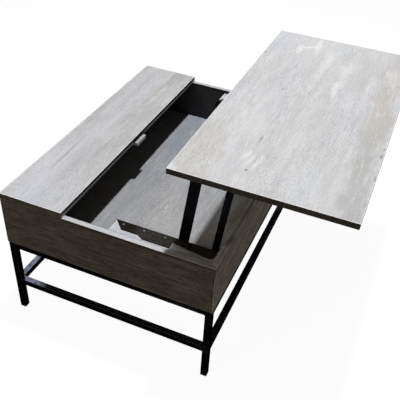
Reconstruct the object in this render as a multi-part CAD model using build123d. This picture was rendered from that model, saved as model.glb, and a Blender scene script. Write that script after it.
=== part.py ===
from build123d import *
import math
import os

# Lift top coffee table, raised as it stands in use. Millimetres, +Z up, floor at Z = 0.
# X runs along the length, -Y is the side the top swings out to, +Y is the fixed strip.

# Overall sizes
table_length = 918.0
table_depth = 660.0
table_height = 462.0

# Boards
strip_depth = 203.0
lift_thickness = 16.0
lift_gap = 2.0
rim_gap = 2.0
panel_thickness = 16.0
bottom_thickness = 16.0
bottom_raise = 5.0
groove_depth = 6.0
board_fit = 0.1
board_edge_radius = 1.0

# Steel frame
frame_height = 280.5
tube = 20.0
tube_wall = 1.2
tube_corner = 1.5
frame_setback = 1.5
stretcher_height = 107.3
foot_thickness = 3.0
foot_stub = 12.0
plug_length = 20.0
tube_fit = 0.1

# Fasteners
bolt_radius = 3.0
bolt_head_radius = 6.0
bolt_head_recess = 0.1
bolt_reach = 16.0
bolt_clearance = 0.2
screw_radius = 2.0
screw_head_radius = 3.5
screw_head_height = 2.2
screw_fit = 0.05
frame_screw_reach = 25.0
end_rail_screw_share = 0.6
long_rail_screw_share = 0.7
dowel_radius = 4.0
dowel_depth = 11.0
dowel_length = 32.0
dowel_fit = 0.05
cam_radius = 7.5
cam_depth = 12.5
cam_setback = 34.0
cam_bolt_radius = 3.0
cam_bolt_seat = 10.0
cam_margin = 7.0
dowel_top_margin = 24.5

# Fixed strip dowels
strip_dowel_depth = 12.0
strip_end_dowel_shares = (0.25, 0.75)
strip_rear_dowel_shares = (-0.4, -0.13, 0.13, 0.4)

# Lift mechanism, one set at each end
shelf_width = 60.0
shelf_thickness = 16.0
shelf_drop = 13.0
shelf_length = 310.0
shelf_dowel_shares = (0.15, 0.5, 0.85)
shelf_front_dowel_inset = 22.0
plate = 2.5
bend_radius = 3.0
top_bend_radius = 2.0
pivot_gap = 1.0
arm_thickness = 3.0
arm_length = 276.0
arm_pitch = 90.5
rear_arm_width = 30.0
front_arm_width = 19.0
raised_lean = 7.4
closed_rise = 4.8
front_pivot_setback = 22.5
pivot_drop = 19.0
pin_radius = 5.0
pin_press = 0.02
pin_running = 0.06
loop_clearance = 0.35
shoulder_step = 3.0
shoulder_clearance = 0.2
flush_reach = 0.3
pin_head = 2.0
stop_radius = 4.0
stop_distance = 18.0
rest_clearance = 0.4

# Base bracket outline, widths measured out from the shelf's inner edge, lengths from its rear end
flange_length = 300.0
flange_rear_cut = 30.0
flange_narrow = 32.0
flange_narrow_length = 80.0
flange_step = 20.0
flange_wide = 43.0
flange_wide_length = 179.0
flange_waist = 18.0
flange_middle = 27.0
flange_middle_length = 230.0
flange_front = 34.5
flange_front_round = 9.0
flange_screw_inset = 13.0
flange_screw_first = 28.0
flange_screw_pitch = 63.0
flange_screw_count = 4
flange_screw_reach = 13.0
web_front_margin = 14.0
web_below_pivot = 17.0
web_tail_slope = 21.5
web_deep_length = 126.0
web_tail = 12.0
web_round = 8.0
rest_tab_length = 14.0

# Top bracket outline
top_flange = 30.0
top_flange_front_overhang = 60.0
top_flange_rear_overhang = 32.0
top_web_margin = 16.0
top_web_below = 13.0
top_web_round = 10.0
top_screw_reach = 12.0
top_screw_margin = 14.0
top_screw_count = 4

# Magnetic catch and bumpers
catch_length = 59.0
catch_width = 30.0
catch_height = 11.0
catch_overhang = 11.0
catch_round = 4.0
catch_screw_span = 40.0
catch_screw_reach = 12.0
magnet_length = 40.0
magnet_width = 6.0
magnet_height = 5.0
magnet_fit = 0.1
strike_length = 44.0
strike_width = 8.0
strike_clearance = 0.4
strike_screw_span = 28.0
strike_screw_radius = 1.5
strike_head_radius = 2.6
strike_head_height = 0.8
strike_screw_reach = 10.0
pad_radius = 5.0
pad_clearance = 0.3
pad_inset = 8.0

os.makedirs("parts", exist_ok=True)

# Places worked out from the sizes
half_x = table_length / 2
half_y = table_depth / 2
strip_thickness = lift_thickness + rim_gap
strike_thickness = rim_gap - strike_clearance
pad_thickness = rim_gap - pad_clearance
bolt_head_height = frame_setback - bolt_head_recess
shoulder_radius = pin_radius + shoulder_step
rim_z = table_height - strip_thickness
strip_front_y = half_y - strip_depth
inner_x = half_x - panel_thickness
inner_y = half_y - panel_thickness
bottom_z = frame_height + bottom_raise
floor_z = bottom_z + bottom_thickness
tube_out_x = half_x - frame_setback
tube_out_y = half_y - frame_setback
tube_in_x = tube_out_x - tube
tube_in_y = tube_out_y - tube
rail_z = frame_height - tube

shelf_x = panel_thickness + shelf_width
shelf_top = rim_z - shelf_drop
shelf_rear = shelf_length - inner_y
lean = math.radians(90 + raised_lean)
rise = math.radians(closed_rise)
closed_under = table_height - lift_thickness
pivot_z = closed_under - pivot_drop - arm_length * math.sin(rise)
front_y = front_pivot_setback - inner_y
rear_y = front_y + arm_pitch
reach_y = arm_length * math.cos(lean)
reach_z = arm_length * math.sin(lean)
lift_dy = reach_y - arm_length * math.cos(rise)
lift_dz = reach_z - arm_length * math.sin(rise)
upper_z = pivot_z + reach_z
upper_rear_y = rear_y + reach_y
upper_front_y = front_y + reach_y
lift_under = closed_under + lift_dz
lift_rear_y = strip_front_y - lift_gap + lift_dy
lift_front_y = lift_dy - half_y

# Layers of the linkage, measured in from the outer face of an end panel
web_a = shelf_x
web_b = web_a + plate
arm_a = web_b + pivot_gap
arm_b = arm_a + arm_thickness
link_a = arm_b + pivot_gap
link_b = link_a + arm_thickness
tie_a = link_b + pivot_gap
tie_b = tie_a + plate


def block(x0, x1, y0, y1, z0, z1):
    return Pos((x0 + x1) / 2, (y0 + y1) / 2, (z0 + z1) / 2) * Box(x1 - x0, y1 - y0, z1 - z0)


def rod_x(x0, x1, y, z, radius):
    return Pos((x0 + x1) / 2, y, z) * Rot(0, 90, 0) * Cylinder(radius, x1 - x0)


def rod_y(x, y0, y1, z, radius):
    return Pos(x, (y0 + y1) / 2, z) * Rot(90, 0, 0) * Cylinder(radius, y1 - y0)


def rod_z(x, y, z0, z1, radius):
    return Pos(x, y, (z0 + z1) / 2) * Cylinder(radius, z1 - z0)


def near(offset):
    return offset - half_x


def far_copy(shape):
    return mirror(shape, about=Plane.YZ)


def both_ends(shapes):
    return shapes + [far_copy(s) for s in shapes]


def save(name, shapes):
    if isinstance(shapes, list):
        shape = Compound(children=[s.solid() for s in shapes])
    else:
        shape = shapes.solid()
    shape.label = name
    export_step(shape, f"parts/{name}.step")


def side_plane(offset):
    return Plane(origin=(near(offset), 0, 0), x_dir=(0, 1, 0), z_dir=(1, 0, 0))


def side_plate(points, offset, thickness):
    outline = make_face(Polyline(*points, close=True))
    return extrude(side_plane(offset) * outline, thickness)


def flat_plate(points, z, thickness):
    outline = make_face(Polyline(*points, close=True))
    return extrude(Plane.XY.offset(z) * outline, thickness)


def up_screw(x, y, seat_z, reach):
    head = rod_z(x, y, seat_z - screw_head_height, seat_z, screw_head_radius)
    return head + rod_z(x, y, seat_z, seat_z + reach, screw_radius)


def hole_z(x, y, z0, z1, radius):
    return rod_z(x, y, z0, z1, radius + screw_fit)


# Box boards
shelf_under = shelf_top - shelf_thickness
cam_low_z = floor_z + cam_margin + cam_radius
cam_high_z = shelf_under - cam_margin - cam_radius
cam_heights = [cam_low_z, cam_high_z]
dowel_heights = [(cam_low_z + cam_high_z) / 2, rim_z - dowel_top_margin]
mid_panel_x = half_x - panel_thickness / 2
mid_panel_y = half_y - panel_thickness / 2
joint_ys = [-mid_panel_y, mid_panel_y]
cam_x = inner_x - cam_setback
dowel_back = dowel_length - dowel_depth
strip_dowel_low = rim_z - (dowel_length - strip_dowel_depth)
strip_end_ys = [strip_front_y + share * strip_depth for share in strip_end_dowel_shares]
strip_rear_xs = [share * table_length for share in strip_rear_dowel_shares]
shelf_mid_z = shelf_top - shelf_thickness / 2
shelf_dowel_ys = [shelf_rear - share * shelf_length for share in shelf_dowel_shares]
shelf_front_dowel_x = near(shelf_x - shelf_front_dowel_inset)
frame_screw_inset = frame_setback + tube_corner + screw_head_radius
end_screw_x = half_x - frame_screw_inset
end_screw_ys = [side * end_rail_screw_share * half_y for side in (-1, 1)]
long_screw_y = half_y - frame_screw_inset
long_screw_xs = [side * long_rail_screw_share * half_x for side in (-1, 0, 1)]

end_panel = block(-half_x, -inner_x, -half_y, half_y, frame_height, rim_z)
end_panel = fillet(end_panel.faces().sort_by(Axis.X)[0].edges(), board_edge_radius)
groove_x = inner_x + groove_depth
groove_y = inner_y + groove_depth
groove = block(-groove_x, groove_x, -groove_y, groove_y, bottom_z - board_fit, floor_z + board_fit)
end_panel -= groove
for y in joint_ys:
    for z in dowel_heights:
        end_panel -= rod_x(-inner_x - dowel_depth - dowel_fit, -inner_x, y, z, dowel_radius + dowel_fit)
    for z in cam_heights:
        end_panel -= rod_x(-inner_x - cam_bolt_seat, -inner_x, y, z, cam_bolt_radius + screw_fit)
for y in shelf_dowel_ys:
    end_panel -= rod_x(-inner_x - dowel_depth - dowel_fit, -inner_x, y, shelf_mid_z, dowel_radius + dowel_fit)
for y in strip_end_ys:
    end_panel -= rod_z(-mid_panel_x, y, strip_dowel_low - dowel_fit, rim_z, dowel_radius + dowel_fit)
for y in end_screw_ys:
    end_panel -= hole_z(-end_screw_x, y, frame_height, frame_height + frame_screw_reach, screw_radius)
save("end_panel_near", end_panel)
save("end_panel_far", far_copy(end_panel))


def long_panel(y_out, y_in, y_mid, y_screw):
    low, high = min(y_out, y_in), max(y_out, y_in)
    panel = block(-inner_x, inner_x, low, high, frame_height, rim_z)
    outer = panel.faces().sort_by(Axis.Y)[0 if y_out < 0 else -1]
    panel = fillet(outer.edges().filter_by(Axis.X), board_edge_radius) - groove
    pocket = math.copysign(cam_depth, y_out)
    for side in (-1, 1):
        end = side * inner_x
        for z in dowel_heights:
            back = end - side * (dowel_back + dowel_fit)
            panel -= rod_x(min(back, end), max(back, end), y_mid, z, dowel_radius + dowel_fit)
        for z in cam_heights:
            cam = side * cam_x
            panel -= rod_x(min(cam, end), max(cam, end), y_mid, z, cam_bolt_radius + bolt_clearance)
            ends = sorted([y_in, y_in + pocket])
            panel -= rod_y(cam, ends[0], ends[1], z, cam_radius + dowel_fit)
    for x in long_screw_xs:
        panel -= hole_z(x, y_screw, frame_height, frame_height + frame_screw_reach, screw_radius)
    return panel


front_panel = long_panel(-half_y, -inner_y, -mid_panel_y, -long_screw_y)
rear_panel = long_panel(half_y, inner_y, mid_panel_y, long_screw_y)
for side in (-1, 1):
    front_panel -= rod_y(side * shelf_front_dowel_x, -inner_y - dowel_depth - dowel_fit, -inner_y,
                         shelf_mid_z, dowel_radius + dowel_fit)
for x in strip_rear_xs:
    rear_panel -= rod_z(x, mid_panel_y, strip_dowel_low - dowel_fit, rim_z, dowel_radius + dowel_fit)
save("front_panel", front_panel)
save("rear_panel", rear_panel)
save("bottom_panel", block(board_fit - groove_x, groove_x - board_fit, board_fit - groove_y,
                           groove_y - board_fit, bottom_z, floor_z))

panel_dowels = []
cam_bolts = []
cam_locks = []
for y in joint_ys:
    for z in dowel_heights:
        panel_dowels.append(rod_x(-inner_x - dowel_depth, -inner_x + dowel_back, y, z, dowel_radius))
    for z in cam_heights:
        cam_bolts.append(rod_x(-inner_x - cam_bolt_seat, -cam_x, y, z, cam_bolt_radius))
        face = math.copysign(inner_y, y)
        ends = sorted([face, face + math.copysign(cam_depth - dowel_fit, y)])
        cam = rod_y(-cam_x, ends[0], ends[1], z, cam_radius)
        cam -= rod_x(-cam_x - cam_radius - dowel_fit, -cam_x + screw_fit, y, z, cam_bolt_radius + screw_fit)
        cam_locks.append(cam)
save("panel_dowels", both_ends(panel_dowels))
save("cam_bolts", both_ends(cam_bolts))
save("cam_locks", both_ends(cam_locks))

# Fixed strip and its dowels
strip = block(-half_x, half_x, strip_front_y, half_y, rim_z, table_height)
strip = fillet(strip.faces().sort_by(Axis.Z)[-1].edges(), board_edge_radius)
strip_dowels = []
for y in strip_end_ys:
    for side in (-1, 1):
        strip_dowels.append((side * mid_panel_x, y))
for x in strip_rear_xs:
    strip_dowels.append((x, mid_panel_y))
for x, y in strip_dowels:
    strip -= rod_z(x, y, rim_z, rim_z + strip_dowel_depth + dowel_fit, dowel_radius + dowel_fit)
catch_front = strip_front_y - catch_overhang
catch_rear = catch_front + catch_width
catch_z = rim_z - catch_height
catch_screw_y = (strip_front_y + catch_rear) / 2
catch_screw_xs = [-catch_screw_span / 2, catch_screw_span / 2]
for x in catch_screw_xs:
    strip -= hole_z(x, catch_screw_y, rim_z, rim_z + catch_screw_reach, screw_radius)
save("fixed_top_strip", strip)
save("strip_dowels", [rod_z(x, y, strip_dowel_low, rim_z + strip_dowel_depth, dowel_radius)
                      for x, y in strip_dowels])

# Magnetic catch under the strip's front edge
catch = extrude(Pos(0, (catch_front + catch_rear) / 2, catch_z)
                * RectangleRounded(catch_length, catch_width, catch_round), catch_height)
magnet_y = strip_front_y - catch_overhang / 2
magnet = block(-magnet_length / 2, magnet_length / 2, magnet_y - magnet_width / 2,
               magnet_y + magnet_width / 2, rim_z - magnet_height, rim_z)
catch -= block(-magnet_length / 2 - magnet_fit, magnet_length / 2 + magnet_fit,
               magnet_y - magnet_width / 2 - magnet_fit, magnet_y + magnet_width / 2 + magnet_fit,
               rim_z - magnet_height, rim_z)
for x in catch_screw_xs:
    catch -= hole_z(x, catch_screw_y, catch_z, rim_z, screw_radius)
save("catch_housing", catch)
save("catch_magnet", magnet)
save("catch_screws", [up_screw(x, catch_screw_y, catch_z, catch_height + catch_screw_reach)
                      for x in catch_screw_xs])


# Steel frame: legs, end tubes welded between them, long tubes bolted between the ends
def tube_section(size, radius):
    return RectangleRounded(size, size, radius)


def tube_bar(plane, length):
    outer = tube_section(tube, tube_corner)
    inner = Rectangle(tube - 2 * tube_wall, tube - 2 * tube_wall)
    return extrude(plane * (outer - inner), length)


leg_x = tube_out_x - tube / 2
leg_y = tube_out_y - tube / 2
rail_mid = rail_z + tube / 2
stretcher_mid = stretcher_height + tube / 2
bolt_zs = [rail_mid, stretcher_mid]
leg_names = {(-1, -1): "leg_near_front", (-1, 1): "leg_near_rear",
             (1, -1): "leg_far_front", (1, 1): "leg_far_rear"}
for (side, end), name in leg_names.items():
    leg = tube_bar(Plane((side * leg_x, end * leg_y, foot_thickness)), frame_height - foot_thickness)
    for z in bolt_zs:
        leg -= rod_x(side * leg_x - tube, side * leg_x + tube, end * leg_y, z, bolt_radius + bolt_clearance)
    save(name, leg)

stub = tube - 2 * tube_wall - 2 * tube_fit
feet = []
for side, end in leg_names:
    foot = extrude(Pos(side * leg_x, end * leg_y, 0) * tube_section(tube, tube_corner), foot_thickness)
    foot += block(side * leg_x - stub / 2, side * leg_x + stub / 2, end * leg_y - stub / 2,
                  end * leg_y + stub / 2, foot_thickness, foot_thickness + foot_stub)
    feet.append(foot)
save("foot_plugs", feet)


def end_tube(z):
    return tube_bar(Plane(origin=(-leg_x, -tube_in_y, z), x_dir=(1, 0, 0), z_dir=(0, 1, 0)), 2 * tube_in_y)


end_rail = end_tube(rail_mid)
for y in end_screw_ys:
    end_rail -= hole_z(-end_screw_x, y, rail_z, frame_height, screw_radius)
save("end_rail_near", end_rail)
save("end_rail_far", far_copy(end_rail))
end_stretcher = end_tube(stretcher_mid)
save("end_stretcher_near", end_stretcher)
save("end_stretcher_far", far_copy(end_stretcher))


def long_tube(y, z):
    return tube_bar(Plane(origin=(-tube_in_x, y, z), x_dir=(0, 1, 0), z_dir=(1, 0, 0)), 2 * tube_in_x)


for name, side in (("front", -1), ("rear", 1)):
    rail = long_tube(side * leg_y, rail_mid)
    for x in long_screw_xs:
        rail -= hole_z(x, side * long_screw_y, rail_z, frame_height, screw_radius)
    save(f"long_rail_{name}", rail)
    save(f"long_stretcher_{name}", long_tube(side * leg_y, stretcher_mid))

plugs = []
bolts = []
for side in (-1, 1):
    for z in bolt_zs:
        y = side * leg_y
        plug_end = plug_length - tube_in_x
        plug = block(-tube_in_x, plug_end, y - stub / 2, y + stub / 2, z - stub / 2, z + stub / 2)
        plugs.append(plug - rod_x(-tube_in_x, plug_end, y, z, bolt_radius + screw_fit))
        head = rod_x(-tube_out_x - bolt_head_height, -tube_out_x, y, z, bolt_head_radius)
        bolts.append(head + rod_x(-tube_out_x, bolt_reach - tube_in_x, y, z, bolt_radius))
save("tube_end_plugs", both_ends(plugs))
save("frame_bolts", both_ends(bolts))

frame_screws = [up_screw(side * end_screw_x, y, rail_z, tube + frame_screw_reach)
                for side in (-1, 1) for y in end_screw_ys]
frame_screws += [up_screw(x, side * long_screw_y, rail_z, tube + frame_screw_reach)
                 for side in (-1, 1) for x in long_screw_xs]
save("frame_screws", frame_screws)

# Wooden shelves that carry the mechanism
shelf = block(-inner_x, near(shelf_x), -inner_y, shelf_rear, shelf_under, shelf_top)
flange_screw_x = near(shelf_x - flange_screw_inset)
flange_screw_start = shelf_rear - flange_screw_first
flange_screw_ys = [flange_screw_start - i * flange_screw_pitch for i in range(flange_screw_count)]
shelf_dowels = []
for y in shelf_dowel_ys:
    shelf -= rod_x(-inner_x, -inner_x + dowel_back + dowel_fit, y, shelf_mid_z, dowel_radius + dowel_fit)
    shelf_dowels.append(rod_x(-inner_x - dowel_depth, -inner_x + dowel_back, y, shelf_mid_z, dowel_radius))
dowel_end_y = dowel_back - inner_y
shelf -= rod_y(shelf_front_dowel_x, -inner_y, dowel_end_y + dowel_fit, shelf_mid_z, dowel_radius + dowel_fit)
shelf_dowels.append(rod_y(shelf_front_dowel_x, -inner_y - dowel_depth, dowel_end_y, shelf_mid_z,
                          dowel_radius))
for y in flange_screw_ys:
    shelf -= hole_z(flange_screw_x, y, shelf_top - flange_screw_reach, shelf_top, screw_radius)
save("mechanism_shelf_near", shelf)
save("mechanism_shelf_far", far_copy(shelf))
save("shelf_dowels", both_ends(shelf_dowels))

# Base bracket: bent steel angle, flange on the shelf, web down the shelf's inner edge
flange_top = shelf_top + plate
flange_end = shelf_rear - flange_length
web_front = front_y - web_front_margin
web_low = pivot_z - web_below_pivot
web_tail_y = shelf_rear + web_tail
tab_front = web_tail_y - rest_tab_length
closed_arm_low = pivot_z + (tab_front - rear_y) * math.tan(rise) - rear_arm_width / 2 / math.cos(rise)
tab_top = closed_arm_low - rest_clearance
tab_low = tab_top - plate
profile = Polyline((near(shelf_x - flange_wide), shelf_top), (near(web_a), shelf_top), (near(web_a), web_low),
                   (near(web_b), web_low), (near(web_b), flange_top),
                   (near(shelf_x - flange_wide), flange_top), close=True)
section_plane = Plane(origin=(0, web_tail_y, 0), x_dir=(1, 0, 0), z_dir=(0, -1, 0))
angle = extrude(section_plane * make_face(profile), web_tail_y - web_front)
bend = angle.edges().filter_by(Axis.Y).sort_by(lambda e: e.center().X + e.center().Z)[-1]
angle = fillet([bend], bend_radius)

flange_outline = flat_plate([
    (near(web_b), shelf_rear),
    (near(shelf_x), shelf_rear),
    (near(shelf_x - flange_narrow), shelf_rear - flange_rear_cut),
    (near(shelf_x - flange_narrow), shelf_rear - flange_narrow_length),
    (near(shelf_x - flange_wide), shelf_rear - flange_narrow_length - flange_step),
    (near(shelf_x - flange_wide), shelf_rear - flange_wide_length),
    (near(shelf_x - flange_waist), shelf_rear - flange_wide_length),
    (near(shelf_x - flange_middle), shelf_rear - flange_middle_length),
    (near(shelf_x - flange_front), flange_end + flange_front_round),
    (near(shelf_x - flange_front + flange_front_round), flange_end),
    (near(web_b), flange_end)], shelf_top, plate)
web_outline = side_plate([
    (shelf_rear, flange_top),
    (web_front, flange_top),
    (web_front, web_low + web_round),
    (web_front + web_round, web_low),
    (web_front + web_deep_length, web_low),
    (web_front + web_deep_length + web_round, tab_low),
    (web_tail_y, tab_low),
    (web_tail_y, flange_top - web_tail_slope)], web_a, plate)
bracket = angle & (flange_outline + web_outline)

# Tab under the rear arm where it comes to rest when the top is closed
bracket += block(near(web_a), near(arm_b + flush_reach), tab_front, web_tail_y, tab_low, tab_top)

stop_y = rear_y + stop_distance * math.cos(lean)
stop_z = pivot_z + stop_distance * math.sin(lean)
stop_out = rear_arm_width / 2 + stop_radius + rest_clearance
stop_y -= stop_out * math.sin(lean)
stop_z += stop_out * math.cos(lean)
for y in (rear_y, front_y):
    bracket -= rod_x(near(web_a), near(web_b), y, pivot_z, pin_radius + pin_press)
bracket -= rod_x(near(web_a), near(web_b), stop_y, stop_z, stop_radius + pin_press)
for y in flange_screw_ys:
    bracket -= hole_z(flange_screw_x, y, shelf_top, flange_top, screw_radius)
save("base_bracket_near", bracket)
save("base_bracket_far", far_copy(bracket))
bracket_screws = [rod_z(flange_screw_x, y, shelf_top - flange_screw_reach, flange_top, screw_radius)
                  + rod_z(flange_screw_x, y, flange_top, flange_top + screw_head_height, screw_head_radius)
                  for y in flange_screw_ys]
save("bracket_screws", both_ends(bracket_screws))

# Lower pivots and the raised stop, fixed in the base bracket
rear_lower = rod_x(near(web_a), near(arm_b + flush_reach), rear_y, pivot_z, pin_radius)
rear_lower += rod_x(near(web_b), near(arm_a - shoulder_clearance), rear_y, pivot_z, shoulder_radius)
link_face = link_b + shoulder_clearance
front_lower = rod_x(near(web_a), near(link_face), front_y, pivot_z, pin_radius)
front_lower += rod_x(near(web_b), near(link_a - shoulder_clearance), front_y, pivot_z, shoulder_radius)
front_lower += rod_x(near(link_face), near(link_face + pin_head), front_y, pivot_z, shoulder_radius)
save("rear_lower_pivot_pins", both_ends([rear_lower]))
save("front_lower_pivot_pins", both_ends([front_lower]))
stop_pin = rod_x(near(web_a), near(arm_b + flush_reach), stop_y, stop_z, stop_radius)
save("raised_stop_pins", both_ends([stop_pin]))


# Arms
def arm(layer, foot_y, head_y, width, foot_hole, head_hole):
    plane = side_plane(layer)
    middle = Pos((foot_y + head_y) / 2, (pivot_z + upper_z) / 2) * Rot(0, 0, 90 + raised_lean)
    bar = extrude(plane * (middle * SlotCenterToCenter(arm_length, width)), arm_thickness)
    ends = (near(layer), near(layer + arm_thickness))
    bar -= rod_x(ends[0], ends[1], foot_y, pivot_z, foot_hole)
    return bar - rod_x(ends[0], ends[1], head_y, upper_z, head_hole)


running_hole = pin_radius + pin_running
rear_arm = arm(arm_a, rear_y, upper_rear_y, rear_arm_width, running_hole, running_hole)
front_arm = arm(link_a, front_y, upper_front_y, front_arm_width, running_hole, pin_radius + loop_clearance)
save("rear_arm_near", rear_arm)
save("rear_arm_far", far_copy(rear_arm))
save("front_arm_near", front_arm)
save("front_arm_far", far_copy(front_arm))

# Top brackets under the lift top
top_flange_front = upper_front_y - top_flange_front_overhang
top_flange_rear = upper_rear_y + top_flange_rear_overhang
top_web_front = upper_front_y - top_web_margin
top_web_rear = upper_rear_y + top_web_margin
top_web_low = upper_z - top_web_below
top_bracket = side_plate([
    (top_web_front, lift_under),
    (top_web_front, top_web_low + top_web_round),
    (top_web_front + top_web_round, top_web_low),
    (top_web_rear - top_web_round, top_web_low),
    (top_web_rear, top_web_low + top_web_round),
    (top_web_rear, lift_under)], tie_a, plate)
top_flange_plate = block(near(tie_a), near(tie_b + top_flange), top_flange_front, top_flange_rear,
                         lift_under - plate, lift_under)
top_bracket += top_flange_plate
top_bends = top_bracket.edges().filter_by(Axis.Y).group_by(Axis.Z)[-1].group_by(Axis.X)[0]
top_bracket = fillet(top_bends, top_bend_radius)
top_screw_x = near(tie_b + top_flange / 2)
top_screw_span = top_flange_rear - top_flange_front - 2 * top_screw_margin
top_screw_pitch = top_screw_span / (top_screw_count - 1)
top_screw_ys = [top_flange_front + top_screw_margin + i * top_screw_pitch for i in range(top_screw_count)]
for y in (upper_rear_y, upper_front_y):
    top_bracket -= rod_x(near(tie_a), near(tie_b), y, upper_z, pin_radius + pin_press)
for y in top_screw_ys:
    top_bracket -= hole_z(top_screw_x, y, lift_under - plate, lift_under, screw_radius)
save("top_bracket_near", top_bracket)
save("top_bracket_far", far_copy(top_bracket))
top_screws = [up_screw(top_screw_x, y, lift_under - plate, plate + top_screw_reach) for y in top_screw_ys]
save("top_bracket_screws", both_ends(top_screws))

# Upper pivots, fixed in the top bracket
arm_face = arm_a - shoulder_clearance
rear_upper = rod_x(near(arm_face), near(tie_b), upper_rear_y, upper_z, pin_radius)
rear_upper += rod_x(near(arm_face - pin_head), near(arm_face), upper_rear_y, upper_z, shoulder_radius)
rear_upper += rod_x(near(arm_b + shoulder_clearance), near(tie_a), upper_rear_y, upper_z, shoulder_radius)
rear_upper += rod_x(near(tie_b), near(tie_b + pin_head), upper_rear_y, upper_z, shoulder_radius)
front_upper = rod_x(near(link_a), near(tie_b), upper_front_y, upper_z, pin_radius)
front_upper += rod_x(near(link_b + shoulder_clearance), near(tie_a), upper_front_y, upper_z, shoulder_radius)
front_upper += rod_x(near(tie_b), near(tie_b + pin_head), upper_front_y, upper_z, shoulder_radius)
save("rear_upper_pivot_pins", both_ends([rear_upper]))
save("front_upper_pivot_pins", both_ends([front_upper]))

# Lift top with its strike plate and bumper pads
lift = block(-half_x, half_x, lift_front_y, lift_rear_y, lift_under, lift_under + lift_thickness)
lift = fillet(lift.faces().sort_by(Axis.Z)[-1].edges(), board_edge_radius)
strike_y = lift_rear_y - strike_width / 2
strike_low = lift_under - strike_thickness
strike_xs = [-strike_screw_span / 2, strike_screw_span / 2]
strike = block(-strike_length / 2, strike_length / 2, lift_rear_y - strike_width, lift_rear_y,
               strike_low, lift_under)
strike_screws = []
for x in strike_xs:
    head_top = strike_low + strike_head_height
    strike -= hole_z(x, strike_y, strike_low, head_top, strike_head_radius)
    strike -= hole_z(x, strike_y, head_top, lift_under, strike_screw_radius)
    lift -= hole_z(x, strike_y, lift_under, lift_under + strike_screw_reach, strike_screw_radius)
    strike_screws.append(rod_z(x, strike_y, strike_low, head_top, strike_head_radius)
                         + rod_z(x, strike_y, head_top, lift_under + strike_screw_reach, strike_screw_radius))
for y in top_screw_ys:
    for x in (top_screw_x, -top_screw_x):
        lift -= hole_z(x, y, lift_under, lift_under + top_screw_reach, screw_radius)
save("lift_top", lift)
save("strike_plate", strike)
save("strike_screws", strike_screws)
pad_x = half_x - pad_inset
pad_ys = [lift_front_y + pad_inset, lift_rear_y - pad_inset]
save("bumper_pads", [rod_z(side * pad_x, y, lift_under - pad_thickness, lift_under, pad_radius)
                     for side in (-1, 1) for y in pad_ys])
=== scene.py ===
import math

import bpy
from mathutils import Matrix, Vector


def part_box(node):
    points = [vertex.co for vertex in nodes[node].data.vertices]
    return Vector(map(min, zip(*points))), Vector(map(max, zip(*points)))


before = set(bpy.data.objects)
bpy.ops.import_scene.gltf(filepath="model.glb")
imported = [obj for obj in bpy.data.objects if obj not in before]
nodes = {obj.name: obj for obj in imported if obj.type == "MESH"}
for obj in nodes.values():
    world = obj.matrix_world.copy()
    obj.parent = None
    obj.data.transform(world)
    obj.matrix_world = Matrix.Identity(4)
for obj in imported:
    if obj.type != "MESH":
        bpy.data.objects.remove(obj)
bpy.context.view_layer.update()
scene = bpy.context.scene
scene.view_settings.view_transform = "Standard"


# Node helpers


def new_tree(name):
    """A new material, its node tree, its Principled shader and its texture coordinates."""
    material = bpy.data.materials.new(name)
    material.use_nodes = True
    tree = material.node_tree
    return material, tree, tree.nodes["Principled BSDF"], tree.nodes.new("ShaderNodeTexCoord")


def feed(tree, socket, value):
    """Links a socket, or sets its plain value."""
    if isinstance(value, bpy.types.NodeSocket):
        tree.links.new(value, socket)
    else:
        socket.default_value = value


def add(tree, kind, values, **settings):
    """A new shader node, with its settings made and its inputs fed."""
    node = tree.nodes.new("ShaderNode" + kind)
    for key, value in settings.items():
        setattr(node, key, value)
    for name, value in values.items():
        feed(tree, node.inputs[name], value)
    return node


def xyz(tree, place, kind):
    """X, Y and Z of the Object coordinates or of the Normal."""
    return add(tree, "SeparateXYZ", {"Vector": place.outputs[kind]}).outputs


def calc(tree, operation, one, two=0.0):
    """Result of a Math node on two numbers."""
    return add(tree, "Math", {0: one, 1: two}, operation=operation).outputs[0]


def times(tree, one, two):
    """Product of two numbers."""
    return calc(tree, "MULTIPLY", one, two)


def largest(tree, one, two, three):
    """Largest of three numbers."""
    return calc(tree, "MAXIMUM", calc(tree, "MAXIMUM", one, two), three)


def distance(tree, value, point=0.0):
    """Distance of a coordinate from a point on its axis."""
    return calc(tree, "ABSOLUTE", calc(tree, "SUBTRACT", value, point))


def span(tree, value, low, high, a=0.0, b=1.0):
    """Maps low to high onto a to b, smoothly and clamped."""
    values = {"Value": value, "From Min": low, "From Max": high, "To Min": a, "To Max": b}
    return add(tree, "MapRange", values, interpolation_type="SMOOTHSTEP").outputs[0]


def faces(tree, way, share=1.0):
    """The share on faces that look along way, a part of the normal, and nought on the others."""
    return span(tree, way, 0.45, 0.75, 0.0, share)


def mix(tree, share, one, two):
    """Blends one tone into another by a share."""
    node = add(tree, "Mix", {}, data_type="RGBA")
    for socket, value in ((node.inputs[0], share), (node.inputs[6], one), (node.inputs[7], two)):
        if isinstance(value, tuple):
            value = (*value, 1.0)
        feed(tree, socket, value)
    return node.outputs[2]


def shade(colour, share):
    """A darker or lighter shade of a colour."""
    return tuple(c * share for c in colour)


def noise(tree, place, size, shift=(0, 0, 0), detail=3.0, rough=0.5, twist=0.0):
    """Noise with features of size metres along each axis, moved by shift."""
    mapping = {"Vector": place.outputs["Object"], "Location": shift, "Scale": tuple(1 / s for s in size)}
    values = {
        "Vector": add(tree, "Mapping", mapping).outputs["Vector"],
        "Scale": 1.0,
        "Detail": detail,
        "Roughness": rough,
        "Distortion": twist,
    }
    return add(tree, "TexNoise", values).outputs[0]


def bump(tree, shader, height, depth):
    """Gives the surface a relief of depth metres."""
    values = {"Height": height, "Distance": depth, "Strength": 0.5}
    feed(tree, shader.inputs["Normal"], add(tree, "Bump", values).outputs["Normal"])


# Tones of the boards

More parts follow.
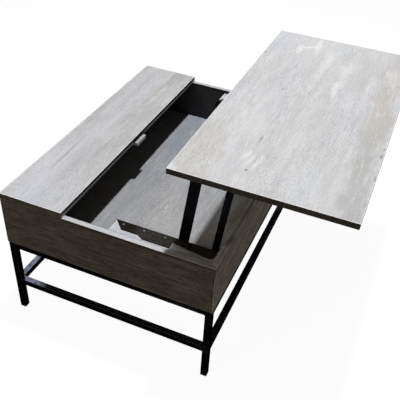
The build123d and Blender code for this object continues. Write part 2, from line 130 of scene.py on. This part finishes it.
brown = (0.101, 0.086, 0.071)
front_brown = (0.188, 0.159, 0.129)
edge_brown = (0.048, 0.040, 0.033)
lift_brown = (0.056, 0.048, 0.041)
inside_black = (0.052, 0.053, 0.062)
# Painted light and shade on the boards: a shadow line at the rims' inner step, highlights on edges,
# partly wear, and light thrown up onto the strip's front
step_shadow_black = (0.05, 0.05, 0.055)
worn_highlight_brown = (0.46, 0.425, 0.37)
worn_highlight_grey = (0.72, 0.70, 0.665)
painted_edge_highlight = (0.96, 0.96, 0.96)
bounce_light_grey = (0.34, 0.34, 0.345)
cool_grey = (0.60, 0.60, 0.66)
warm_grey = (0.64, 0.625, 0.56)
brushed_white = (0.84, 0.84, 0.83)
nick = (0.20, 0.19, 0.18)
chalk = (0.92, 0.925, 0.93)

# Darker and lighter grey of a top
strip_greys = ((0.61, 0.617, 0.64), (0.69, 0.697, 0.72))
lift_greys = ((0.675, 0.68, 0.70), (0.765, 0.77, 0.79))
bottom_greys = ((0.41, 0.417, 0.435), (0.50, 0.507, 0.53))
rim_greys = ((0.60, 0.625, 0.67), (0.69, 0.715, 0.765))
# The long panels' rims, browner and darker than the end panels' rims; part of that is painted shade
# under the lift top
long_rims_and_shade = ((0.28, 0.255, 0.235), (0.39, 0.36, 0.33))

# Seeds of the grain that the strip's sides share with the panels under them
long_seed = 5.2
end_seed = 1.3

# Marks of the grey wash, as touch() takes them, in metres at the raised pose. Some on the box's
# floor, and those on the front ends of the end panels and shelves, are painted shade under the lift top
lift_touches = (
    (-0.372, -0.226, 0.20, 0.050, 0, (0.60, 0.585, 0.525), 0.50, 0.7),
    (-0.188, -0.304, 0.05, 0.024, 5, (0.80, 0.795, 0.755), 0.55, 0.7),
    (-0.330, -0.608, 0.26, 0.028, 0, (0.50, 0.50, 0.497), 0.70, 0.7),
    (-0.059, -0.602, 0.18, 0.028, 3, (0.56, 0.545, 0.505), 0.55, 0.7),
    (0.220, -0.592, 0.28, 0.036, 4, (0.63, 0.595, 0.57), 0.55, 0.7),
    (-0.388, -0.500, 0.09, 0.034, 0, (0.71, 0.745, 0.81), 0.60, 0.7),
    (0.430, -0.352, 0.15, 0.180, 0, (0.82, 0.83, 0.845), 0.45, 0.8),
    (0.420, -0.206, 0.07, 0.020, 0, (0.74, 0.79, 0.82), 0.70, 0.7),
    (0.325, -0.203, 0.05, 0.018, 0, (0.65, 0.68, 0.75), 0.55, 0.7),
    (0.240, -0.455, 0.09, 0.017, 2, (0.90, 0.875, 0.865), 0.80, 0.7),
    (0.105, -0.451, 0.06, 0.010, 5, chalk, 0.80, 0.7),
    (0.254, -0.386, 0.12, 0.012, -2, (0.89, 0.90, 0.91), 0.75, 0.7),
    (0.270, -0.507, 0.15, 0.026, 0, (0.63, 0.61, 0.61), 0.50, 0.8),
    (0.275, -0.594, 0.045, 0.017, 0, (0.84, 0.815, 0.76), 0.65, 0.7),
    (0.335, -0.444, 0.04, 0.012, 0, (0.57, 0.57, 0.575), 0.50, 0.7),
    (0.412, -0.416, 0.05, 0.026, 0, (0.66, 0.67, 0.725), 0.55, 0.7),
    (-0.152, -0.404, 0.06, 0.020, 4, (0.665, 0.63, 0.62), 0.50, 0.7),
    (0.040, -0.505, 0.06, 0.014, 0, (0.78, 0.81, 0.84), 0.65, 0.7),
    (-0.455, -0.189, 0.020, 0.016, 0, (0.84, 0.865, 0.93), 0.85, 0.4),
    (-0.279, -0.6375, 0.014, 0.0028, 0, nick, 0.75, 0.6),
    (-0.178, -0.6360, 0.010, 0.0040, 0, nick, 0.75, 0.6),
    (-0.141, -0.6370, 0.008, 0.0035, 0, nick, 0.70, 0.6),
    (0.267, -0.1915, 0.012, 0.0022, 0, nick, 0.50, 0.5),
    (-0.236, -0.344, 0.011, 0.0017, -5, nick, 0.75, 0.5),
    (-0.381, -0.355, 0.0045, 0.0032, 0, nick, 0.65, 0.5),
    (0.208, -0.308, 0.012, 0.0018, 0, nick, 0.45, 0.5),
    (0.048, -0.314, 0.008, 0.0018, 0, nick, 0.40, 0.5),
    (-0.320, -0.336, 0.024, 0.0080, -10, (0.92, 0.91, 0.89), 0.90, 0.5),
    (-0.345, -0.349, 0.022, 0.0042, -10, (0.89, 0.88, 0.865), 0.70, 0.6),
    (-0.342, -0.370, 0.024, 0.0050, -8, (0.90, 0.895, 0.89), 0.70, 0.6),
    (0.342, -0.283, 0.028, 0.0072, 5, chalk, 0.95, 0.6),
    (0.372, -0.314, 0.028, 0.0066, -58, chalk, 0.90, 0.6),
    (0.415, -0.332, 0.042, 0.0080, 5, chalk, 0.95, 0.6),
)
bottom_marks_and_shade = (
    (0.330, 0.060, 0.22, 0.110, 0, (0.36, 0.395, 0.47), 0.70, 0.8),
    # Painted shade: the floor darker and warmer in the lift top's shadow
    (-0.270, -0.250, 0.16, 0.060, 0, (0.40, 0.365, 0.325), 0.60, 0.7),
    # Painted shadow: a dark band on the floor near the front panel
    (0.010, -0.285, 0.17, 0.047, 0, (0.25, 0.23, 0.20), 0.80, 0.35),
    (-0.220, -0.060, 0.14, 0.070, 10, (0.54, 0.545, 0.53), 0.50, 0.8),
    (-0.330, 0.060, 0.08, 0.050, 0, (0.52, 0.54, 0.58), 0.45, 0.8),
)
# Painted shadow of the raised lift top on the front ends of the end panels' rims and the shelves
front_ends_painted_shadow = ((0.0, -0.36, 5.0, 0.18, 0, (0.27, 0.247, 0.228), 0.95, 0.12),)
strip_touches = (
    (-0.372, 0.263, 0.17, 0.110, 0, (0.73, 0.745, 0.815), 0.65, 0.8),
    (-0.429, 0.230, 0.04, 0.034, 0, (0.60, 0.64, 0.74), 0.60, 0.7),
    (-0.239, 0.220, 0.14, 0.022, 0, (0.52, 0.505, 0.53), 0.50, 0.7),
    (-0.219, 0.271, 0.11, 0.0045, 1, (0.42, 0.42, 0.43), 0.55, 0.6),
    (-0.099, 0.188, 0.10, 0.0045, 0, (0.40, 0.40, 0.40), 0.55, 0.6),
    (0.208, 0.203, 0.14, 0.011, 0, (0.48, 0.48, 0.465), 0.55, 0.7),
    (0.008, 0.163, 0.26, 0.028, 0, (0.54, 0.535, 0.52), 0.50, 0.8),
    (0.428, 0.170, 0.08, 0.030, 0, (0.43, 0.43, 0.41), 0.60, 0.7),
    (0.274, 0.200, 0.05, 0.012, 0, (0.60, 0.58, 0.49), 0.45, 0.7),
    (0.028, 0.243, 0.07, 0.008, 0, (0.74, 0.77, 0.76), 0.50, 0.7),
    (0.141, 0.313, 0.20, 0.011, 0, (0.48, 0.48, 0.47), 0.45, 0.7),
)


# Boards


def along(axis, length, width):
    """Feature size of a grain that runs along x or y."""
    return (length, width, width) if axis == "x" else (width, length, width)


def grain(tree, place, axis, seed):
    """Noises that run along a board's grain, from long bands down to specks."""
    shift = (seed, seed * 1.7, seed * 0.6)
    return {
        "bands": noise(tree, place, along(axis, 0.20, 0.026), shift, 5, 0.6, 0.4),
        "clouds": noise(tree, place, along(axis, 0.11, 0.050), shift, 5, 0.62, 0.3),
        "blotches": noise(tree, place, along(axis, 0.034, 0.015), shift, 4, 0.60, 0.4),
        "lines": noise(tree, place, along(axis, 0.14, 0.0062), shift, 4, 0.62, 0.2),
        "fibres": noise(tree, place, along(axis, 0.028, 0.0042), shift, 4, 0.65),
        "specks": noise(tree, place, along(axis, 0.0058, 0.0030), shift, 3, 0.6),
    }


def side_tone(tree, marks, side, streak):
    """Dark brown grain of a board's sides and underside."""
    tone = mix(tree, span(tree, marks["bands"], 0.36, 0.64), shade(side, 0.66), side)
    tone = mix(tree, span(tree, marks["clouds"], 0.50, 0.72, 0.0, 0.55), tone, shade(side, 1.7))
    warm = tuple(c * w for c, w in zip(side, (1.04, 1.00, 0.86)))
    tone = mix(tree, span(tree, marks["blotches"], 0.46, 0.64, 0.0, 0.6), tone, warm)
    tone = mix(tree, span(tree, marks["blotches"], 0.36, 0.48, 0.45, 0.0), tone, shade(side, 0.55))
    tone = mix(tree, span(tree, marks["lines"], 0.50, 0.66, 0.0, streak), tone, shade(side, 2.1))
    tone = mix(tree, span(tree, marks["fibres"], 0.30, 0.52, 0.60, 0.0), tone, shade(side, 0.28))
    return mix(tree, span(tree, marks["specks"], 0.34, 0.56, 0.50, 0.0), tone, shade(side, 0.30))


def long_print(tree, place, streak):
    """Brown grain of the long panels, on another board."""
    return side_tone(tree, grain(tree, place, "x", long_seed), front_brown, streak)


def touch(tree, place, marks, tone, spot):
    """Lays one soft mark on a top: its middle, half length, half width, turn in degrees, colour,
    share and softness. Its outline is frayed along the grain."""
    x, y, half_length, half_width, turn, colour, share, soft = spot
    values = {
        "Vector": place.outputs["Object"],
        "Location": (x, y, 0.0),
        "Rotation": (0.0, 0.0, math.radians(turn)),
        "Scale": (half_length, half_width, 1000.0),
    }
    local = add(tree, "Mapping", values, vector_type="TEXTURE").outputs["Vector"]
    far = add(tree, "VectorMath", {0: local}, operation="LENGTH").outputs["Value"]
    fray = span(tree, marks["clouds"], 0.3, 0.7, -0.9 * soft, 0.9 * soft)
    far = calc(tree, "ADD", far, fray)
    return mix(tree, span(tree, far, 1.0 - soft, 1.0 + soft, share, 0.0), tone, colour)


def top_tone(tree, place, marks, axis, seed, greys, wash, touches):
    """Grey wash of a board's upper face: streaked, with brushed strokes and the marks it was given."""
    low, high = greys
    tints = noise(tree, place, along(axis, 0.30, 0.10), (seed + 5, seed, 2), 3, 0.55, 0.3)
    lines = noise(tree, place, along(axis, 0.060, 0.0070), (seed + 3, 1, seed), 4, 0.64, 0.8)
    brush = noise(tree, place, along(axis, 0.060, 0.013), (seed, 2, 9), 5, 0.62, 0.5)
    areas = noise(tree, place, along(axis, 0.26, 0.11), (seed, seed + 8, 4), 3, 0.5)
    rough = span(tree, areas, 0.36, 0.60, 0.5, 1.0)
    tone = mix(tree, span(tree, marks["bands"], 0.34, 0.66), low, high)
    tone = mix(tree, span(tree, marks["clouds"], 0.36, 0.62, 0.26, 0.0), tone, shade(low, 0.78))
    tone = mix(tree, span(tree, tints, 0.36, 0.49, 0.14, 0.0), tone, cool_grey)
    tone = mix(tree, span(tree, tints, 0.51, 0.64, 0.0, 0.12), tone, warm_grey)
    for spot in touches:
        tone = touch(tree, place, marks, tone, spot)
    strokes = times(tree, span(tree, brush, 0.52, 0.68), span(tree, areas, 0.48, 0.66, 0.0, wash))
    tone = mix(tree, strokes, tone, brushed_white)
    tone = mix(tree, span(tree, lines, 0.52, 0.70, 0.0, 0.50), tone, shade(high, 1.14))
    tone = mix(tree, span(tree, lines, 0.30, 0.46, 0.30, 0.0), tone, shade(low, 0.70))
    fibres = times(tree, span(tree, marks["fibres"], 0.30, 0.52, 0.42, 0.0), rough)
    tone = mix(tree, fibres, tone, shade(low, 0.55))
    specks = times(tree, span(tree, marks["specks"], 0.34, 0.56, 0.54, 0.0), rough)
    return mix(tree, specks, tone, shade(low, 0.58))


def edge_lines(tree, place, corners, width):
    """One along the edges of a box-shaped board, where its faces meet, and nought elsewhere."""
    spot = xyz(tree, place, "Object")
    close = []
    for axis, (low, high) in enumerate(zip(*corners)):
        reach = (high - low) / 2
        off = distance(tree, spot[axis], (low + high) / 2)
        close.append(span(tree, off, reach - width, reach - 0.2 * width))
    x, y, z = close
    return largest(tree, times(tree, x, y), times(tree, y, z), times(tree, x, z))


def box_panel(tree, place, marks, corners, axis, side, inner, dark, pale):
    """Sides and rim of a panel round the open box: a near-black inside, a dark line under the rim,
    a dark foot on the long faces and light edges, partly wear and partly painted highlight. The ends
    of an end panel carry the grain of the long panels, and its rim has a painted shadow line at its
    inner edge, where it steps down."""
    inner_axis, inner_sign = inner
    is_end = axis == "y"
    facing = xyz(tree, place, "Normal")
    spot = xyz(tree, place, "Object")
    long_face = faces(tree, distance(tree, facing["Y"]))
    if is_end:
        dark = mix(tree, long_face, dark, long_print(tree, place, 0.55))
    inside = faces(tree, times(tree, facing[inner_axis], inner_sign), 0.85)
    dark = mix(tree, inside, dark, inside_black)

    low_z, top_z = corners[0][2], corners[1][2]
    strip_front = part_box("fixed_top_strip")[0][1]
    open_rim = span(tree, spot["Y"], strip_front - 0.004, strip_front, 1.0, 0.0)
    border = span(tree, spot["Z"], top_z - 0.013, top_z - 0.004, 0.0, 0.8)
    dark = mix(tree, times(tree, border, open_rim), dark, shade(side, 0.3))
    foot = span(tree, spot["Z"], low_z + 0.002, low_z + 0.004, 0.7, 0.0)
    dark = mix(tree, times(tree, foot, long_face), dark, shade(side, 0.15))

    # Light edges that come and go: partly wear, partly painted highlight where edges catch the light
    wear_and_highlight = times(tree, span(tree, marks["clouds"], 0.36, 0.58, 0.40, 0.90), open_rim)
    thin = times(tree, wear_and_highlight, edge_lines(tree, place, corners, 0.0018))
    broad = times(tree, wear_and_highlight, edge_lines(tree, place, corners, 0.0034))
    below = span(tree, spot["Z"], top_z - 0.040, top_z - 0.028, 1.0, 0.0)
    dark = mix(tree, times(tree, thin, below), dark, worn_highlight_brown)
    pale = mix(tree, broad, pale, worn_highlight_grey)
    if is_end:
        # Painted shadow line on the rim's inner edge, where it steps down
        inner_face = corners[1 if inner_sign > 0 else 0][inner_axis]
        off = distance(tree, spot[inner_axis], inner_face)
        pale = mix(tree, span(tree, off, 0.0010, 0.0020, 0.5, 0.0), pale, step_shadow_black)
    return dark, pale


def strip_sides(tree, place, corners, bounce_depth, dark):
    """Sides of the fixed strip: its ends and its rear carry the grain of the panels under them, with
    a dark line under the top, and the lower part of its front has a pale band of painted light,
    thrown up from the lit floor, left out where the catch stands as painted shade of the catch."""
    top_z = corners[1][2]
    facing = xyz(tree, place, "Normal")
    spot = xyz(tree, place, "Object")
    carried = side_tone(tree, grain(tree, place, "y", end_seed), brown, 0.45)
    carried = mix(tree, faces(tree, facing["Y"]), carried, long_print(tree, place, 0.60))
    rule = span(tree, spot["Z"], top_z - 0.0046, top_z - 0.0034, 0.0, 0.8)
    carried = mix(tree, rule, carried, shade(brown, 0.2))
    front = faces(tree, times(tree, facing["Y"], -1.0))
    dark = mix(tree, front, carried, dark)
    # Painted bounce light from the lit floor on the front's lower part, with the catch's painted shade
    bounce_z = top_z - bounce_depth
    low_part = span(tree, spot["Z"], bounce_z - 0.001, bounce_z + 0.001, 0.9, 0.0)
    beyond_catch_shade = span(tree, distance(tree, spot["X"]), 0.034, 0.042)
    return mix(tree, times(tree, low_part, times(tree, front, beyond_catch_shade)), dark, bounce_light_grey)


def board(node, axis, seed, greys, wash, side, streak, inner=None, touches=(), bounce_depth=None):
    """Printed board: a grey-washed face that looks up, and dark brown sides and underside. axis is
    the way of the grain, and wash and streak are how strong its strokes and streaks are. inner is
    the axis and the sign of a near-black inside face, and bounce_depth is how far below the top a
    pale band of painted bounce light starts on the front edge."""
    material, tree, shader, place = new_tree(node + "_board")
    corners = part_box(node)
    marks = grain(tree, place, axis, seed)
    pale = top_tone(tree, place, marks, axis, seed, greys, wash, touches)
    dark = side_tone(tree, marks, side, streak)
    if inner:
        dark, pale = box_panel(tree, place, marks, corners, axis, side, inner, dark, pale)
    else:
        # Painted highlight along the edges of the top
        edge_highlight = times(tree, edge_lines(tree, place, corners, 0.0026), 0.9)
        pale = mix(tree, edge_highlight, pale, painted_edge_highlight)
    if bounce_depth:
        dark = strip_sides(tree, place, corners, bounce_depth, dark)

    up = faces(tree, xyz(tree, place, "Normal")["Z"])
    feed(tree, shader.inputs["Base Color"], mix(tree, up, dark, pale))
    feed(tree, shader.inputs["Roughness"], span(tree, marks["fibres"], 0.3, 0.7, 0.66, 0.50))
    shader.inputs["Specular IOR Level"].default_value = 0.01
    bump(tree, shader, marks["fibres"], 0.0004)
    return material


end_board = dict(axis="y", greys=rim_greys, wash=0.30, side=brown, touches=front_ends_painted_shadow)
long_panel = dict(axis="x", seed=long_seed, greys=long_rims_and_shade, wash=0.30, side=front_brown, streak=0.60)
board_looks = {
    "fixed_top_strip": dict(
        axis="x",
        seed=3.1,
        greys=strip_greys,
        wash=0.30,
        side=edge_brown,
        streak=0.15,
        touches=strip_touches,
        bounce_depth=0.0095,
    ),
    "lift_top": dict(
        axis="x",
        seed=7.4,
        greys=lift_greys,
        wash=0.40,
        side=lift_brown,
        streak=0.30,
        touches=lift_touches,
    ),
    "bottom_panel": dict(
        axis="x",
        seed=9.7,
        greys=bottom_greys,
        wash=0.45,
        side=brown,
        streak=0.25,
        touches=bottom_marks_and_shade,
    ),
    "end_panel_near": dict(seed=end_seed, streak=0.45, inner=(0, 1), **end_board),
    "end_panel_far": dict(seed=2.3, streak=0.45, inner=(0, -1), **end_board),
    "front_panel": dict(inner=(1, 1), **long_panel),
    "rear_panel": dict(inner=(1, -1), **long_panel),
    "mechanism_shelf_near": dict(seed=4.6, streak=0.20, **end_board),
    "mechanism_shelf_far": dict(seed=8.6, streak=0.20, **end_board),
}
finishes = {name: board(name, **look) for name, look in board_looks.items()}


# Metal, plastic, rubber and dowels


def coating(
    name, tones, rough, specular, grit, depth, metal=0.0, tops=None, patchy=0.75, patch=0.006, fade=None
):
    """Painted, plated or moulded surface with a slow change of tone and roughness, and a fine relief:
    grit is its grain and depth its height. tops is a lighter tone on faces that look up: a painted
    sheen on the black paint and a dusty tone on the base brackets; patchy is how uneven that is and
    patch the size of its spots. fade is where along y that tone starts, is full, is still full and
    ends; its drop towards the front is painted shade under the lift top."""
    material, tree, shader, place = new_tree(name)
    clouds = noise(tree, place, (0.05, 0.05, 0.05), (2, 5, 1), 5, 0.6)
    peel = noise(tree, place, (grit, grit, grit), rough=0.55)
    colour = mix(tree, span(tree, clouds, 0.35, 0.68), *tones)
    # A lighter tone on faces that look up: painted sheen on the black paint, a dusty tone on the
    # brackets
    if tops:
        sheen_and_dust_spots = noise(tree, place, (patch, patch, patch), (3, 1, 7), 4, 0.65)
        level = span(tree, xyz(tree, place, "Normal")["Z"], 0.93, 0.98)
        lit = times(tree, level, span(tree, sheen_and_dust_spots, 0.36, 0.62, 1.0 - patchy, 1.0))
        # Along y: towards the front this is painted shade under the lift top
        if fade:
            y = xyz(tree, place, "Object")["Y"]
            lit = times(tree, lit, span(tree, y, *fade[:2], 0.2, 1.0))
            lit = times(tree, lit, span(tree, y, *fade[2:], 1.0, 0.1))
        colour = mix(tree, lit, colour, tops)
    feed(tree, shader.inputs["Base Color"], colour)
    feed(tree, shader.inputs["Roughness"], span(tree, clouds, 0.35, 0.68, *rough))
    shader.inputs["Specular IOR Level"].default_value = specular
    shader.inputs["Metallic"].default_value = metal
    if metal and not specular:
        shader.inputs["Specular Tint"].default_value = (0.0, 0.0, 0.0, 1.0)
    bump(tree, shader, peel, depth)
    return material


# tops: painted sheen on the faces that look up
black_steel = coating(
    "black_powder_coat",
    tones=((0.0080, 0.0080, 0.0088), (0.0120, 0.0120, 0.0130)),
    rough=(0.20, 0.26),
    specular=0.0,
    grit=0.0016,
    depth=0.00003,
    metal=0.75,
    tops=(0.070, 0.0735, 0.096),
    patchy=0.65,
    patch=0.016,
)
arm_steel = coating(
    "arm_powder_coat",
    tones=((0.0036, 0.0036, 0.0040), (0.0056, 0.0056, 0.0062)),
    rough=(0.22, 0.30),
    specular=0.0,
    grit=0.0016,
    depth=0.00003,
    metal=0.75,
)
# Base brackets: a dusty tone on faces that look up, faded towards the front as painted shade under the
# lift top
dust_and_shade_steel = coating(
    "dust_and_shade_powder_coat",
    tones=((0.0115, 0.0100, 0.0070), (0.0165, 0.0145, 0.0105)),
    rough=(0.32, 0.46),
    specular=0.0,
    grit=0.0016,
    depth=0.00006,
    metal=0.2,
    tops=(0.050, 0.047, 0.044),
    patchy=0.70,
    patch=0.006,
    fade=(-0.24, -0.12, -0.095, -0.050),
)
black_fastener = coating(
    "black_zinc",
    tones=((0.008, 0.008, 0.009), (0.014, 0.014, 0.015)),
    rough=(0.28, 0.40),
    specular=0.0,
    grit=0.0010,
    depth=0.00005,
    metal=0.8,
)
zinc_steel = coating(
    "zinc_plate",
    tones=((0.18, 0.18, 0.185), (0.30, 0.30, 0.30)),
    rough=(0.30, 0.46),
    specular=0.5,
    grit=0.0012,
    depth=0.00004,
    metal=1.0,
)
dull_zinc = coating(
    "dull_zinc",
    tones=((0.08, 0.08, 0.084), (0.15, 0.15, 0.15)),
    rough=(0.34, 0.50),
    specular=0.5,
    grit=0.0012,
    depth=0.00004,
    metal=1.0,
)
light_plastic = coating(
    "light_plastic",
    tones=((0.46, 0.475, 0.50), (0.56, 0.575, 0.60)),
    rough=(0.40, 0.55),
    specular=0.2,
    grit=0.0012,
    depth=0.00006,
)
black_plastic = coating(
    "black_plastic",
    tones=((0.012, 0.012, 0.013), (0.022, 0.022, 0.023)),
    rough=(0.50, 0.66),
    specular=0.12,
    grit=0.0010,
    depth=0.00008,
)
pad_rubber = coating(
    "pad_rubber",
    tones=((0.50, 0.50, 0.485), (0.62, 0.62, 0.60)),
    rough=(0.34, 0.46),
    specular=0.4,
    grit=0.0014,
    depth=0.00006,
)


def beech(name):
    """Pale wood with rings and dark flecks along x."""
    material, tree, shader, place = new_tree(name)
    rings = noise(tree, place, (0.020, 0.0016, 0.0016), (1, 2, 3), 4, 0.6)
    flecks = noise(tree, place, (0.004, 0.0007, 0.0007), (4, 1, 2), 2, 0.5)
    tone = mix(tree, span(tree, rings, 0.35, 0.66), (0.42, 0.28, 0.16), (0.60, 0.44, 0.28))
    tone = mix(tree, span(tree, flecks, 0.60, 0.75, 0.0, 0.5), tone, (0.27, 0.17, 0.09))
    feed(tree, shader.inputs["Base Color"], tone)
    feed(tree, shader.inputs["Roughness"], span(tree, rings, 0.3, 0.7, 0.72, 0.60))
    bump(tree, shader, rings, 0.0002)
    return material


# The other pieces by finish. The tube frame and the top brackets, not listed, are black steel
pieces_by_finish = (
    (beech("dowel_wood"), ("panel_dowels", "strip_dowels", "shelf_dowels")),
    (light_plastic, ("catch_housing", "catch_magnet")),
    (zinc_steel, ("catch_screws", "strike_plate", "strike_screws", "top_bracket_screws")),
    (zinc_steel, ("cam_locks", "cam_bolts")),
    (dull_zinc, ("rear_lower_pivot_pins", "front_lower_pivot_pins", "bracket_screws")),
    (dull_zinc, ("rear_upper_pivot_pins", "front_upper_pivot_pins", "raised_stop_pins")),
    (dust_and_shade_steel, ("base_bracket_near", "base_bracket_far")),
    (arm_steel, ("rear_arm_near", "rear_arm_far", "front_arm_near", "front_arm_far")),
    (black_fastener, ("frame_bolts", "frame_screws")),
    (black_plastic, ("foot_plugs", "tube_end_plugs")),
    (pad_rubber, ("bumper_pads",)),
)
for material, names in pieces_by_finish:
    finishes |= dict.fromkeys(names, material)
for name, node in nodes.items():
    node.data.materials.clear()
    node.data.materials.append(finishes.get(name, black_steel))


# Floor and background


def white_to_camera(tree):
    """One for camera, glossy and transmission rays, which see a white background."""
    rays = tree.nodes.new("ShaderNodeLightPath").outputs
    return largest(tree, rays["Is Camera Ray"], rays["Is Glossy Ray"], rays["Is Transmission Ray"])


floor_reach = 14.0
floor_height = -0.0005
floor_corners = ((-1, -1), (1, -1), (1, 1), (-1, 1))
mesh = bpy.data.meshes.new("floor")
mesh.from_pydata(
    [(x * floor_reach, y * floor_reach, floor_height) for x, y in floor_corners], [], [(0, 1, 2, 3)]
)
floor = bpy.data.objects.new("floor", mesh)
scene.collection.objects.link(floor)
material, tree, shader, place = new_tree("pale_floor")
shader.inputs["Roughness"].default_value = 0.9
shader.inputs["Specular IOR Level"].default_value = 0.0
speckle = noise(tree, place, (0.4, 0.4, 0.4))
feed(tree, shader.inputs["Base Color"], mix(tree, speckle, (0.36, 0.36, 0.36), (0.40, 0.40, 0.40)))
glow = add(tree, "Emission", {"Color": (1, 1, 1, 1), "Strength": 1.13})
shown = times(tree, white_to_camera(tree), 0.85)
both = add(tree, "MixShader", {0: shown, 1: shader.outputs[0], 2: glow.outputs[0]})
feed(tree, tree.nodes["Material Output"].inputs["Surface"], both.outputs[0])
mesh.materials.append(material)

world = bpy.data.worlds.new("studio")
scene.world = world
world.use_nodes = True
tree = world.node_tree
sky = tree.nodes["Background"]
seen = white_to_camera(tree)
feed(tree, sky.inputs["Color"], mix(tree, seen, (1.0, 0.93, 0.85), (1.0, 1.0, 1.0)))
feed(tree, sky.inputs["Strength"], span(tree, seen, 0.0, 1.0, 0.06, 1.0))


# Light and camera


def lamp(name, place, aim, size, power, tint=(1.0, 1.0, 1.0)):
    """Round soft light, size metres across, that looks at a point."""
    data = bpy.data.lights.new(name, "AREA")
    data.shape = "DISK"
    data.size = size
    data.energy = power
    data.color = tint
    light = bpy.data.objects.new(name, data)
    light.location = place
    light.rotation_euler = (Vector(aim) - Vector(place)).to_track_quat("-Z", "Y").to_euler()
    scene.collection.objects.link(light)


lamp("key", (0.30, -0.22, 4.9), (0.30, -0.22, 0.0), size=0.20, power=150, tint=(0.99, 0.995, 1.0))
lamp("rear_softbox", (1.25, 1.75, 2.2), (-0.1, 0.2, 0.3), size=0.6, power=5)
lamp("side_fill", (-2.4, 0.9, 2.2), (-0.3, 0.0, 0.4), size=0.9, power=15, tint=(1.0, 0.91, 0.80))
lamp("low_fill", (-2.6, -2.6, 0.30), (-0.1, -0.1, 0.30), size=0.45, power=15)

# Where the camera stands, and which ways are right and down in its picture
camera_place = (-1.50913, -0.67377, 1.52824)
right = Vector((0.39039896, -0.91933239, 0.04915914))
down = Vector((-0.55259878, -0.27670258, -0.78617445))
ahead = right.cross(down)
data = bpy.data.cameras.new("camera")
data.sensor_width = 36
data.lens = 54.872
camera = bpy.data.objects.new("camera", data)
turn = Matrix((right, -down, -ahead)).transposed().to_4x4()
camera.matrix_world = Matrix.Translation(camera_place) @ turn
scene.collection.objects.link(camera)
scene.camera = camera
